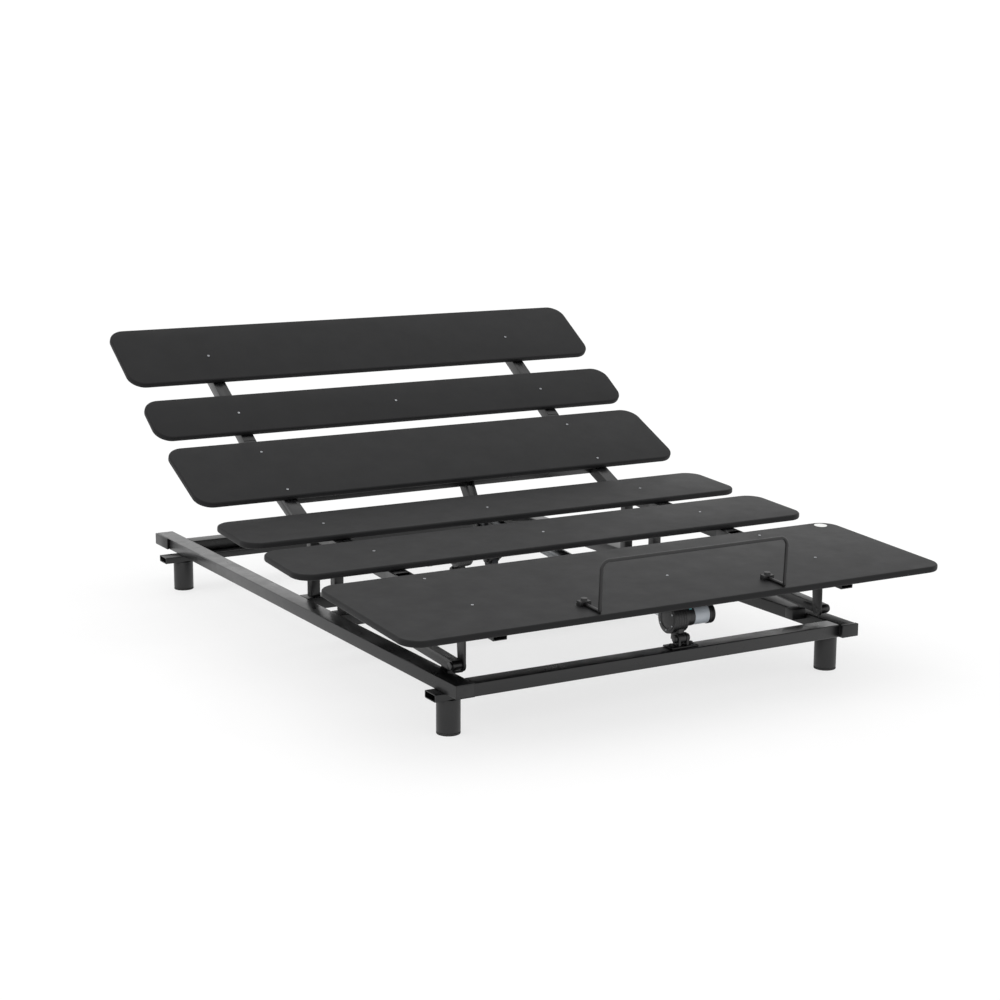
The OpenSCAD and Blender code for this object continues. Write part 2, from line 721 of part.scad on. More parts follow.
// Worm gear's centre line and the end of the outer tube, from the tail pin
gear_y = gear_l / 2 + 4;
tube_start = gear_l / 2 + 10;
base_z = 16;
base_l = 40;
eye_r = 12;
eye_drop = 10;
eye_size = [eye_t, 30, 32];
collar_l = 24;
collar_r = motor_d / 2 + 2;
module gearbox() {
    difference() {
        union() {
            translate([0, gear_y, gear_up]) bar_x(gear_r, gear_w);
            translate([-gear_w / 2, tube_start - base_l / 2, base_z])
                cube([gear_w, base_l, gear_up - base_z]);
            bar_x(eye_r, eye_t);
            translate([-eye_t / 2, 0, -eye_drop]) cube(eye_size);
            translate([gear_w / 2, gear_y, gear_up]) bar_x(collar_r, collar_l);
        }
        bar_x(pin_r + run_fit, gear_w);
        translate([0, tube_start, spindle_up]) rotate([-90, 0, 0]) cylinder(d = act_tube_d, h = 2 * gear_l);
    }
}
// Motor: body, wider end cap, cone and nub, one after the other
cap_l = 22;
cap_start = motor_l - cap_l - 4;
cone_l = 12;
nub_d = 12;
nub_l = 6;
module motor() {
    translate([(gear_w + collar_l) / 2, gear_y, gear_up]) rotate([0, 90, 0]) union() {
        cylinder(d = motor_d, h = cap_start);
        translate([0, 0, cap_start]) cylinder(d = motor_d + 3, h = cap_l);
        translate([0, 0, cap_start + cap_l]) cylinder(d1 = motor_d - 6, d2 = nub_d + 4, h = cone_l);
        translate([0, 0, cap_start + cap_l + cone_l]) cylinder(d = nub_d, h = nub_l);
    }
}
// Outer tube that ends l from the tail pin, closed by a wall at the gearbox
tube_floor = 6;
module actuator_tube(l) {
    translate([0, tube_start, spindle_up]) rotate([-90, 0, 0]) difference() {
        cylinder(d = act_tube_d, h = l - tube_start);
        translate([0, 0, tube_floor]) cylinder(r = rod_d / 2 + slide_fit, h = l);
    }
}
// Rod with a slotted plate at its end; the slot lets the lever's pin rise and fall
plate_back = 26;
plate_size = [eye_t, 44, 75];
plate_drop = 18;
module rod(l, reach) {
    difference() {
        union() {
            translate([0, l, spindle_up]) rotate([-90, 0, 0])
                cylinder(d = rod_d, h = reach - l - plate_back + 2);
            translate([-eye_t / 2, reach - plate_back, -plate_drop]) cube(plate_size);
        }
        translate([0, reach, 0]) union() {
            for (s = [-1, 1]) translate([0, 0, s * slot_rise]) bar_x(pin_r + slot_side, eye_t + 2);
            cube([eye_t + 2, 2 * (pin_r + slot_side), 2 * slot_rise], center = true);
        }
    }
}
head_tube_l = 745;
knee_tube_l = 142;
head_rod_in = head_tube_l - 60;
knee_rod_in = knee_tube_l - 58;
module head_gearbox() { placed("#19191b") on_head_actuator() gearbox(); }
module head_motor() { placed("#8d8f92") on_head_actuator() motor(); }
module head_actuator_tube() { placed("#9fa1a4") on_head_actuator() actuator_tube(head_tube_l); }
module head_rod() { placed("#b5b7ba") on_head_actuator() rod(head_rod_in, head_act_l); }
module knee_gearbox() { placed("#19191b") on_knee_actuator() gearbox(); }
module knee_motor() { placed("#8d8f92") on_knee_actuator() motor(); }
module knee_actuator_tube() { placed("#9fa1a4") on_knee_actuator() actuator_tube(knee_tube_l); }
module knee_rod() { placed("#b5b7ba") on_knee_actuator() rod(knee_rod_in, knee_act_l); }

side_rail_left();
side_rail_right();
foot_rail();
head_rail();
inner_rails();
cross_rails();
foot_brace();
head_brace();
legs();
leg_glides();
leg_studs();
end_blocks();
rail_end_plugs();
rest_blocks();
seat_posts();
seat_tubes();
seat_board();
seat_screws();
base_pins();
link_brackets();
head_actuator_bracket();
knee_actuator_bracket();
control_box();
control_box_cover();
power_inlet();
lumbar_tubes();
lumbar_cross_tube();
lumbar_lever();
lumbar_pins();
lumbar_board();
lumbar_screws();
back_tubes();
back_cross_tube();
upper_back_board();
head_board();
back_screws();
thigh_tubes();
thigh_cross_tube();
thigh_lever();
thigh_pins();
thigh_board();
thigh_screws();
calf_tubes();
calf_cross_tube();
support_arms();
support_pins();
calf_board();
calf_screws();
retainer_bar();
retainer_clamps();
label_disc();
link_arms();
head_gearbox();
head_motor();
head_actuator_tube();
head_rod();
knee_gearbox();
knee_motor();
knee_actuator_tube();
knee_rod();
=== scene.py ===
import bmesh
import bpy
import json
import math
from mathutils import Matrix, Vector

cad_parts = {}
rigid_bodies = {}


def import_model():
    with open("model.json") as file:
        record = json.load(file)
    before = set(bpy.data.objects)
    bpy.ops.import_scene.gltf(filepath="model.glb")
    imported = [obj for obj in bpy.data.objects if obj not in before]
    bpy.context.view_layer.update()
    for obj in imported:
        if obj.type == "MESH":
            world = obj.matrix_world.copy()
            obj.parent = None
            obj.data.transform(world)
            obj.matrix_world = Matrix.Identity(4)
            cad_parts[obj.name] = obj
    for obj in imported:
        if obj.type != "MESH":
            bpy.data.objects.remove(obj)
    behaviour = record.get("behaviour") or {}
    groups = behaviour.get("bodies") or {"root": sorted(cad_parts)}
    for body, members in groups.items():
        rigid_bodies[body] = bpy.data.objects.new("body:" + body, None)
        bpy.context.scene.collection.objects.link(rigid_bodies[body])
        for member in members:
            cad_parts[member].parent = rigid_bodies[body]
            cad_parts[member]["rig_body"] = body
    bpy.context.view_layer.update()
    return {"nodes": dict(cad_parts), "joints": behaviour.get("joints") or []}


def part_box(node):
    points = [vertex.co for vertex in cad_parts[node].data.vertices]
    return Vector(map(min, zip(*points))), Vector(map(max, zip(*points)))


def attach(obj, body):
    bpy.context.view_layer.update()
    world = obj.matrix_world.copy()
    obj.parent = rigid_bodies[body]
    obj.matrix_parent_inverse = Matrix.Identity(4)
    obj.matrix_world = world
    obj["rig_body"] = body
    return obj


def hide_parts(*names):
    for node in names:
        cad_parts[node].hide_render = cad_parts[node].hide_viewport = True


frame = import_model()
joints = {joint["name"]: joint for joint in frame["joints"]}
mm = 0.001

# slopes of the three stretches of the deck at rest, in degrees
slopes = {"seat": 3.2, "lumbar": 24.0, "back": 32.5}


def linear(hexColour):
    channels = [int(hexColour[i:i + 2], 16) / 255 for i in (1, 3, 5)]
    return [c / 12.92 if c <= 0.04045 else ((c + 0.055) / 1.055) ** 2.4 for c in channels] + [1.0]


def addNode(tree, kind, settings=None, inputs=None):
    node = tree.nodes.new(kind)
    for name, value in (settings or {}).items():
        setattr(node, name, value)
    for socket, value in (inputs or {}).items():
        if isinstance(value, bpy.types.NodeSocket):
            tree.links.new(value, node.inputs[socket])
        else:
            node.inputs[socket].default_value = value
    return node


def newMaterial(name, shader):
    material = bpy.data.materials.new(name)
    material.use_nodes = True
    tree = material.node_tree
    tree.nodes.clear()
    surface = addNode(tree, "ShaderNodeBsdfPrincipled", None, shader)
    addNode(tree, "ShaderNodeOutputMaterial", None, {"Surface": surface.outputs[0]})
    place = addNode(tree, "ShaderNodeTexCoord").outputs["Object"]
    return material, tree, surface, place


def patchyColour(tree, surface, place, dark, light, patchMm):
    patches = addNode(tree, "ShaderNodeTexNoise", None,
                      {"Vector": place, "Scale": 1000 / patchMm, "Detail": 4.0, "Roughness": 0.6})
    ramp = addNode(tree, "ShaderNodeValToRGB", None, {"Fac": patches.outputs["Fac"]})
    ramp.color_ramp.elements[0].position = 0.3
    ramp.color_ramp.elements[1].position = 0.7
    ramp.color_ramp.elements[0].color = linear(dark)
    ramp.color_ramp.elements[1].color = linear(light)
    tree.links.new(ramp.outputs["Color"], surface.inputs["Base Color"])
    return patches


def patchyRoughness(tree, surface, place, low, high, patchMm):
    smears = addNode(tree, "ShaderNodeTexNoise", None,
                     {"Vector": place, "Scale": 1000 / patchMm, "Detail": 5.0, "Roughness": 0.65})
    spread = addNode(tree, "ShaderNodeMapRange", None, {
        "Value": smears.outputs["Fac"], "From Min": 0.3, "From Max": 0.7, "To Min": low, "To Max": high})
    tree.links.new(spread.outputs["Result"], surface.inputs["Roughness"])


def grainBump(tree, surface, place, grainMm, depthMm, strength):
    grain = addNode(tree, "ShaderNodeTexNoise", None,
                    {"Vector": place, "Scale": 1000 / grainMm, "Detail": 3.0, "Roughness": 0.55})
    bump = addNode(tree, "ShaderNodeBump", None,
                   {"Height": grain.outputs["Fac"], "Distance": depthMm * mm, "Strength": strength})
    tree.links.new(bump.outputs["Normal"], surface.inputs["Normal"])


def powderCoat(name, dark, light, rough, grainMm, depthMm):
    material, tree, surface, place = newMaterial(name, {"IOR": 1.5})
    patchyColour(tree, surface, place, dark, light, 90)
    patchyRoughness(tree, surface, place, rough[0], rough[1], 45)
    grainBump(tree, surface, place, grainMm, depthMm, 0.5)
    return material


def lacqueredBoard():
    # MDF with a sprayed matt black lacquer: an even charcoal with a very fine pebble and faint cloudy sheen.
    # The real pebble is about 0.4 mm, drawn here at 1.6 mm so that it shows.
    material, tree, surface, place = newMaterial("lacqueredBoard", {"IOR": 1.45, "Specular IOR Level": 0.22})
    patchyColour(tree, surface, place, "#121213", "#151516", 160)
    patchyRoughness(tree, surface, place, 0.5, 0.56, 70)
    grainBump(tree, surface, place, 1.6, 0.06, 0.35)
    return material


def brushedMetal(name, dark, light, rough, axis, angle):
    material, tree, surface, place = newMaterial(name, {"Metallic": 1.0})
    stretch = [900.0, 900.0, 900.0]
    stretch[axis] = 14.0
    lay = addNode(tree, "ShaderNodeMapping", None,
                  {"Vector": place, "Rotation": (-math.radians(angle), 0, 0), "Scale": stretch})
    scratches = addNode(tree, "ShaderNodeTexNoise", None,
                        {"Vector": lay.outputs["Vector"], "Scale": 1.0, "Detail": 3.0, "Roughness": 0.5})
    ramp = addNode(tree, "ShaderNodeValToRGB", None, {"Fac": scratches.outputs["Fac"]})
    ramp.color_ramp.elements[0].position = 0.35
    ramp.color_ramp.elements[1].position = 0.65
    ramp.color_ramp.elements[0].color = linear(dark)
    ramp.color_ramp.elements[1].color = linear(light)
    tree.links.new(ramp.outputs["Color"], surface.inputs["Base Color"])
    spread = addNode(tree, "ShaderNodeMapRange", None, {
        "Value": scratches.outputs["Fac"], "From Min": 0.3, "From Max": 0.7,
        "To Min": rough[0], "To Max": rough[1]})
    tree.links.new(spread.outputs["Result"], surface.inputs["Roughness"])
    bump = addNode(tree, "ShaderNodeBump", None,
                   {"Height": scratches.outputs["Fac"], "Distance": 0.03 * mm, "Strength": 0.3})
    tree.links.new(bump.outputs["Normal"], surface.inputs["Normal"])
    return material


def zincPlate():
    # Zinc-plated steel: pale grey with small spangled patches and a soft shine.
    material, tree, surface, place = newMaterial("zincPlatedSteel", {"Metallic": 1.0})
    spangle = addNode(tree, "ShaderNodeTexVoronoi", None, {"Vector": place, "Scale": 1000 / 4})
    ramp = addNode(tree, "ShaderNodeValToRGB", None, {"Fac": spangle.outputs["Color"]})
    ramp.color_ramp.elements[0].color = linear("#8E9093")
    ramp.color_ramp.elements[1].color = linear("#B9BBBE")
    tree.links.new(ramp.outputs["Color"], surface.inputs["Base Color"])
    patchyRoughness(tree, surface, place, 0.24, 0.42, 6)
    grainBump(tree, surface, place, 0.8, 0.03, 0.3)
    return material


def mouldedPlastic(name, dark, light, rough, grainMm):
    material, tree, surface, place = newMaterial(name, {"IOR": 1.53})
    patchyColour(tree, surface, place, dark, light, 30)
    patchyRoughness(tree, surface, place, rough[0], rough[1], 12)
    grainBump(tree, surface, place, grainMm, 0.05, 0.4)
    return material


def paleFloor():
    # Studio floor: a matt white translucent sheet, lit from below so that shadows stay faint.
    material, tree, surface, place = newMaterial("litStudioSheet", {
        "Specular IOR Level": 0.05, "Emission Color": (1.0, 1.0, 1.0, 1.0), "Emission Strength": 0.72})
    patchyColour(tree, surface, place, "#8A8A8A", "#8D8D8D", 400)
    patchyRoughness(tree, surface, place, 0.8, 0.9, 300)
    return material


print("materials")


def slideTilt(name):
    axis = joints[name]["axis"]
    return math.degrees(math.atan2(axis[2], axis[1]))


looks = {
    # Semi-gloss black powder coat on steel tube: orange peel about 2.5 mm across under a soft gloss.
    "railCoat": powderCoat("semiGlossPowderCoat", "#0A0A0B", "#0F0F10", (0.26, 0.36), 2.5, 0.05),
    # Satin black powder coat on the legs and brackets, a little finer and duller.
    "satinCoat": powderCoat("satinPowderCoat", "#0D0D0E", "#121213", (0.38, 0.5), 1.8, 0.05),
    "board": lacqueredBoard(),
    "zinc": zincPlate(),
    # Chemically blackened steel of the hinge pins: near black, a dull shine.
    "blackOxide": powderCoat("blackenedSteel", "#121213", "#1A1A1B", (0.3, 0.42), 1.2, 0.03),
    # Injection-moulded black ABS with a spark-eroded texture.
    "abs": mouldedPlastic("mouldedAbs", "#101011", "#171718", (0.4, 0.55), 1.2),
    # Black rubber with a dull skin.
    "rubber": mouldedPlastic("dullRubber", "#131313", "#1A1A1A", (0.62, 0.78), 1.0),
    # Glass-filled nylon on the gearbox: slightly greyer, with a coarser grain.
    "nylon": mouldedPlastic("glassFilledNylon", "#151516", "#1E1E1F", (0.34, 0.5), 1.6),
    # Turquoise ABS, seen only as a small button between the gearbox and the motor.
    "button": mouldedPlastic("turquoiseAbs", "#2E7F86", "#378D94", (0.3, 0.4), 1.0),
    # Printed vinyl sleeve on the motor, a plain cool grey.
    "sleeve": mouldedPlastic("greyVinylSleeve", "#A4ABB2", "#B4BAC0", (0.28, 0.4), 1.4),
    # White polyester sticker with a faint gloss.
    "sticker": mouldedPlastic("whitePolyester", "#DCDDDB", "#E8E8E6", (0.3, 0.45), 1.0),
    # Clear anodised aluminium tube, drawn lengthwise.
    "aluminium": brushedMetal("anodisedAluminium", "#9FA2A5", "#BFC2C5", (0.3, 0.42), 1,
                              slideTilt("head_rod_slide")),
    "aluminiumKnee": brushedMetal("anodisedAluminiumKnee", "#9FA2A5", "#BFC2C5", (0.3, 0.42), 1,
                                  slideTilt("knee_rod_slide")),
    # Oiled, burnished steel of the spindle rods.
    "burnished": brushedMetal("burnishedSteel", "#3A3B3D", "#4C4D50", (0.26, 0.36), 0, 0),
    "floor": paleFloor(),
}


def onlyThis(piece):
    if bpy.context.object and bpy.context.object.mode != "OBJECT":
        bpy.ops.object.mode_set(mode="OBJECT")
    bpy.ops.object.select_all(action="DESELECT")
    piece.select_set(True)
    bpy.context.view_layer.objects.active = piece


def pickEdges(piece, wanted):
    onlyThis(piece)
    bpy.ops.object.mode_set(mode="EDIT")
    bpy.ops.mesh.select_mode(type="EDGE")
    bpy.ops.mesh.select_all(action="DESELECT")
    mesh = bmesh.from_edit_mesh(piece.data)
    for edge in mesh.edges:
        edge.select_set(wanted(edge))
    bmesh.update_edit_mesh(piece.data)


def pickFaces(piece, wanted):
    onlyThis(piece)
    bpy.ops.object.mode_set(mode="EDIT")
    bpy.ops.mesh.select_mode(type="FACE")
    bpy.ops.mesh.select_all(action="DESELECT")
    mesh = bmesh.from_edit_mesh(piece.data)
    mesh.normal_update()
    for face in mesh.faces:
        face.select_set(wanted(face))
    bmesh.update_edit_mesh(piece.data)


def leaveEdit():
    bpy.ops.object.mode_set(mode="OBJECT")


def softEdges(piece, width, segments=2, angle=34):
    onlyThis(piece)
    bevel = piece.modifiers.new("softEdges", "BEVEL")
    bevel.width = width * mm
    bevel.segments = segments
    bevel.limit_method = "ANGLE"
    bevel.angle_limit = math.radians(angle)
    bevel.use_clamp_overlap = True
    bpy.ops.object.modifier_apply(modifier=bevel.name)


def settle(piece, place=None):
    onlyThis(piece)
    if place is not None:
        piece.matrix_world = place @ piece.matrix_world
    bpy.ops.object.transform_apply(location=True, rotation=True, scale=True)
    bpy.ops.object.shade_smooth_by_angle(angle=math.radians(32))


def dress(piece, body, look, nodes=()):
    settle(piece)
    piece.data.materials.clear()
    piece.data.materials.append(looks[look])
    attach(piece, body)
    if nodes:
        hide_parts(*nodes)
    return piece


def joined(pieces, name):
    bpy.ops.object.select_all(action="DESELECT")
    for piece in pieces:
        piece.select_set(True)
    bpy.context.view_layer.objects.active = pieces[0]
    if len(pieces) > 1:
        bpy.ops.object.join()
    pieces[0].name = name
    return pieces[0]


def copyAt(piece, place):
    twin = piece.copy()
    twin.data = piece.data.copy()
    bpy.context.scene.collection.objects.link(twin)
    twin.matrix_world = place
    return twin


# A copy of a CAD node with its doubles merged and its flat faces whole again
def cadCopy(node, name):
    source = frame["nodes"][node]
    piece = bpy.data.objects.new(name, source.data.copy())
    bpy.context.scene.collection.objects.link(piece)
    onlyThis(piece)
    piece.data.materials.clear()
    bpy.ops.object.mode_set(mode="EDIT")
    bpy.ops.mesh.select_all(action="SELECT")
    bpy.ops.mesh.remove_doubles(threshold=0.00002)
    bpy.ops.mesh.dissolve_limited(angle_limit=math.radians(1))
    leaveEdit()
    return piece


# Rolled corners along a tube: long outer edges only
def rolledCorners(piece, radius, least=60):
    def wanted(edge):
        if len(edge.link_faces) != 2 or edge.calc_length() < least * mm:
            return False
        return edge.is_convex and edge.calc_face_angle(0) > math.radians(60)
    pickEdges(piece, wanted)
    bpy.ops.mesh.bevel(offset=radius * mm, segments=4, affect="EDGES", clamp_overlap=True)
    leaveEdit()


def coated(node, look, edge=1.0, roll=0):
    name = "".join(part.capitalize() for part in node.split("_"))
    piece = cadCopy(node, name[0].lower() + name[1:])
    if roll:
        rolledCorners(piece, roll)
    softEdges(piece, edge)
    return dress(piece, frame["nodes"][node]["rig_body"], look, (node,))


baseFrame = {"rollMm": 3.0, "edgeMm": 0.7}


def makeBaseFrame(c):
    for node in ("side_rail_left", "side_rail_right", "foot_rail", "head_rail"):
        coated(node, "railCoat", c["edgeMm"], c["rollMm"])
    for node in ("inner_rails", "cross_rails", "foot_brace", "head_brace"):
        coated(node, "railCoat", c["edgeMm"], 2.4)
    for node in ("seat_posts", "seat_tubes"):
        coated(node, "railCoat", c["edgeMm"], 2.4)
    for node in ("end_blocks", "rest_blocks", "link_brackets"):
        coated(node, "satinCoat", 1.5)
    coated("rail_end_plugs", "abs", 0.6)
    for node in ("head_actuator_bracket", "knee_actuator_bracket"):
        coated(node, "satinCoat", 1.0)
    print("base frame")


legShape = {"rimMm": 1.6, "glideRimMm": 1.6}


def makeLegs(c):
    coated("legs", "satinCoat", c["rimMm"])
    coated("leg_glides", "rubber", c["glideRimMm"])
    coated("leg_studs", "zinc", 0.6)
    print("legs")


def makeTubes():
    for node in ("lumbar_tubes", "back_tubes", "thigh_tubes", "calf_tubes"):
        coated(node, "railCoat", 0.7, 2.4)
    for node in ("lumbar_cross_tube", "back_cross_tube", "thigh_cross_tube", "calf_cross_tube"):
        coated(node, "railCoat", 0.7, 2.4)
    for node in ("lumbar_lever", "thigh_lever", "support_arms"):
        coated(node, "satinCoat", 1.0)
    coated("link_arms", "railCoat", 0.8, 2.4)
    for node in ("base_pins", "lumbar_pins", "thigh_pins", "support_pins"):
        coated(node, "blackOxide", 0.8)
    print("section tubes, levers and pins")


boards = {"edgeMm": 5.0, "edgeSegments": 5, "cornerMm": 48.0, "cornerSegments": 20}


# Lowest and highest corner of a node measured square to a slope about X
def slopedBox(node, slope):
    turn = Matrix.Rotation(-math.radians(slope), 4, "X")
    points = [turn @ vertex.co for vertex in frame["nodes"][node].data.vertices]
    low = Vector([min(p[i] for p in points) for i in range(3)])
    high = Vector([max(p[i] for p in points) for i in range(3)])
    return low, high


def makeBoard(c, node, name, slope):
    low, high = slopedBox(node, slope)
    size = high - low
    bpy.ops.object.select_all(action="DESELECT")
    bpy.ops.mesh.primitive_cube_add(size=1, location=(low + high) / 2)
    piece = bpy.context.object
    piece.name = name
    piece.scale = size
    bpy.ops.object.transform_apply(location=True, rotation=True, scale=True)
    pickEdges(piece, lambda e: abs(e.verts[0].co.z - e.verts[1].co.z) > size.z * 0.9)
    bpy.ops.mesh.bevel(offset=c["cornerMm"] * mm, segments=c["cornerSegments"], affect="EDGES")
    pickEdges(piece, lambda e: abs(e.verts[0].co.z - e.verts[1].co.z) < size.z * 0.1)
    bpy.ops.mesh.bevel(offset=c["edgeMm"] * mm, segments=c["edgeSegments"], affect="EDGES")
    leaveEdit()
    settle(piece, Matrix.Rotation(math.radians(slope), 4, "X"))
    return dress(piece, frame["nodes"][node]["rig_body"], "board", (node,))


def makeBoards(c):
    makeBoard(c, "head_board", "headBoard", slopes["back"])
    makeBoard(c, "upper_back_board", "upperBackBoard", slopes["back"])
    makeBoard(c, "lumbar_board", "lumbarBoard", slopes["lumbar"])
    makeBoard(c, "seat_board", "seatBoard", slopes["seat"])
    makeBoard(c, "thigh_board", "thighBoard", slopes["seat"])
    makeBoard(c, "calf_board", "calfBoard", slopes["seat"])
    print("boards")


screwHead = {"radiusMm": 3.4, "riseMm": 1.6, "socketMm": 1.5, "rimMm": 0.8, "sunkMm": 0.3}


def screwPattern(c):
    bpy.ops.object.select_all(action="DESELECT")
    bpy.ops.mesh.primitive_cylinder_add(vertices=24, radius=c["radiusMm"] * mm, depth=c["riseMm"] * mm,
                                        location=(0, 0, c["riseMm"] * mm / 2))
    piece = bpy.context.object
    bpy.ops.object.transform_apply(location=True, rotation=True, scale=True)
    pickEdges(piece, lambda e: min(v.co.z for v in e.verts) > c["riseMm"] * mm * 0.9)
    bpy.ops.mesh.bevel(offset=c["rimMm"] * mm, segments=3, affect="EDGES")
    pickFaces(piece, lambda f: f.normal.z > 0.99)
    bpy.ops.mesh.inset(thickness=(c["radiusMm"] - c["socketMm"] - c["rimMm"]) * mm, depth=0)
    bpy.ops.mesh.inset(thickness=0.2 * mm, depth=-1.0 * mm)
    leaveEdit()
    return piece


def makeScrews(c, node, name, slope, extras=()):
    high = slopedBox(node, slope)[1]
    turn = Matrix.Rotation(math.radians(slope), 4, "X")
    back = Matrix.Rotation(-math.radians(slope), 4, "X")
    tops = set()
    for vertex in frame["nodes"][node].data.vertices:
        p = back @ vertex.co
        if p.z > high.z - 0.1 * mm:
            tops.add((round(p.x, 5), round(p.y, 5)))
    groups = []
    for x, y in sorted(tops):
        near = [g for g in groups if abs(g[0][0] - x) < 0.02 and abs(g[0][1] - y) < 0.02]
        if near:
            near[0].append((x, y))
        else:
            groups.append([(x, y)])
    pattern = screwPattern(c)
    heads = []
    spots = [tuple((min(p[k] for p in g) + max(p[k] for p in g)) / 2 for k in (0, 1)) for g in groups]
    for x, y in spots:
        heads.append(copyAt(pattern, turn @ Matrix.Translation((x, y, high.z - c["sunkMm"] * mm))))
    for x, past in extras:
        y = min(spot[1] for spot in spots) + past * mm
        heads.append(copyAt(pattern, turn @ Matrix.Translation((x * mm, y, high.z - c["sunkMm"] * mm))))
    bpy.data.objects.remove(pattern)
    piece = joined(heads, name)
    return dress(piece, frame["nodes"][node]["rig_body"], "zinc", (node,))


def makeAllScrews(c):
    # the second numbers are the places of the middle screws past each board's first row
    makeScrews(c, "seat_screws", "seatScrews", slopes["seat"], [(-16, -20)])
    makeScrews(c, "lumbar_screws", "lumbarScrews", slopes["lumbar"])
    makeScrews(c, "back_screws", "backScrews", slopes["back"], [(0, 0)])
    makeScrews(c, "thigh_screws", "thighScrews", slopes["seat"], [(-9, -9)])
    makeScrews(c, "calf_screws", "calfScrews", slopes["seat"], [(55, 18)])
    print("screws")


def makeFootEnd():
    coated("retainer_bar", "satinCoat", 0.4)
    coated("retainer_clamps", "abs", 1.6)
    coated("label_disc", "sticker", 0.2)
    print("foot end")


# where each part of the motor ends, as shares of its length from the gearbox
motorShape = {"collarShare": 0.19, "sleeveShare": 0.70, "capShare": 0.89, "domeShare": 0.95, "sides": 64}


def barX(name, x0, x1, radius, centre, sides=48, rim=1.2):
    bpy.ops.object.select_all(action="DESELECT")
    bpy.ops.mesh.primitive_cylinder_add(vertices=sides, radius=radius, depth=x1 - x0,
                                        location=((x0 + x1) / 2, centre[0], centre[1]),
                                        rotation=(0, math.pi / 2, 0))
    piece = bpy.context.object
    piece.name = name
    bpy.ops.object.transform_apply(location=True, rotation=True, scale=True)
    softEdges(piece, rim, 3)
    return piece


def ribbed(piece, x0, x1, count, depth):
    # bisect rings along the bar, then push every second ring in
    step = (x1 - x0) / (2 * count + 1)
    for i in range(2 * count):
        onlyThis(piece)
        bpy.ops.object.mode_set(mode="EDIT")
        bpy.ops.mesh.select_all(action="SELECT")
        bpy.ops.mesh.bisect(plane_co=(x0 + (i + 1) * step, 0, 0), plane_no=(1, 0, 0))
        leaveEdit()
    def inGroove(face):
        x = face.calc_center_median().x
        k = (x - x0) / step
        return abs(face.normal.x) < 0.3 and 0 < k < 2 * count + 1 and int(k) % 2 == 1
    pickFaces(piece, inGroove)
    bpy.ops.mesh.extrude_region_shrink_fatten(
        TRANSFORM_OT_shrink_fatten={"value": -depth, "use_even_offset": True})
    leaveEdit()


def makeMotor(c, node, prefix):
    low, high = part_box(node)
    centre = ((low.y + high.y) / 2, (low.z + high.z) / 2)
    radius = (high.z - low.z) / 2
    body = frame["nodes"][node]["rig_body"]
    # the knee motor points the other way
    sign = 1 if prefix == "head" else -1
    start = low.x if sign > 0 else high.x
    length = high.x - low.x
    at = lambda share: start + sign * share * length

    def part(name, a, b, r, look, rim, nodes=(), slot=None, ribs=0):
        x0, x1 = sorted((at(a), at(b)))
        piece = barX(prefix + name, x0, x1, r, centre, c["sides"], rim)
        if ribs:
            ribbed(piece, x0 + 4 * mm, x1 - 3 * mm, ribs, 1.2 * mm)
        return dress(piece, body, look, nodes)
    part("MotorCollar", 0.0, c["collarShare"], radius - 1.0 * mm, "nylon", 1.0)
    part("MotorSleeve", c["collarShare"], c["sleeveShare"], radius - 1.8 * mm, "sleeve", 0.8,
         (node,), "motor_grey")
    part("MotorCap", c["sleeveShare"], c["capShare"], radius, "abs", 2.0, ribs=3)
    part("MotorDome", c["capShare"] - 0.04, c["domeShare"], radius - 7 * mm, "abs", 3.0)
    part("MotorNub", c["domeShare"] - 0.04, 1.0, 6 * mm, "abs", 2.0)
    button = barX(prefix + "MotorButton", *sorted((at(0.02), at(0.12))), 7 * mm,
                  (centre[0] - radius * 0.35, centre[1] + radius * 0.74), 24, 2.0)
    dress(button, body, "button")


gearShape = {
    "coverMm": 31, "boltRingMm": 27.5, "boltMm": 2.6, "bolts": 6,
    "fins": 5, "finMm": 36.8, "pitchMm": 7,
}


def makeGearbox(c, node, prefix):
    piece = coated(node, "nylon", 2.2)
    low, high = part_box(node)
    body = frame["nodes"][node]["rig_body"]
    motorLow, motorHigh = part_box(prefix + "_motor")
    centre = ((motorLow.y + motorHigh.y) / 2, (motorLow.z + motorHigh.z) / 2)
    sign = 1 if prefix == "head" else -1
    blind = low.x if sign > 0 else high.x
    x0, x1 = sorted((blind - sign * 1 * mm, blind + sign * 2.5 * mm))
    cover = barX(prefix + "GearCover", x0, x1, c["coverMm"] * mm, centre, 64, 1.2)
    pickFaces(cover, lambda f: f.normal.x * -sign > 0.95 and f.calc_area() > 0.0005)
    bpy.ops.mesh.inset(thickness=6 * mm, depth=0)
    bpy.ops.mesh.inset(thickness=1.2 * mm, depth=-1.2 * mm)
    leaveEdit()
    dress(cover, body, "nylon")
    bolts = []
    for i in range(c["bolts"]):
        a = math.tau * (i + 0.5) / c["bolts"]
        ring = c["boltRingMm"] * mm
        spot = (centre[0] + ring * math.cos(a), centre[1] + ring * math.sin(a))
        x0, x1 = sorted((blind - sign * 1.9 * mm, blind))
        bolts.append(barX("bolt", x0, x1, c["boltMm"] * mm, spot, 6, 0.4))
    dress(joined(bolts, prefix + "GearCoverBolts"), body, "zinc")
    # cooling fins round the worm housing, on the side away from the spindle
    fins = []
    for i in range(c["fins"]):
        x = blind + sign * (6 + c["pitchMm"] * i) * mm
        fins.append(barX("fin", x - 1.2 * mm, x + 1.2 * mm, c["finMm"] * mm, centre, 64, 0.7))
    dress(joined(fins, prefix + "GearFins"), body, "nylon")


def makeActuators():
    for prefix in ("head", "knee"):
        makeGearbox(gearShape, prefix + "_gearbox", prefix)
        makeMotor(motorShape, prefix + "_motor", prefix)
        coated(prefix + "_actuator_tube", "aluminium" if prefix == "head" else "aluminiumKnee",
               0.8)
        coated(prefix + "_rod", "burnished", 0.8)
    print("actuators")


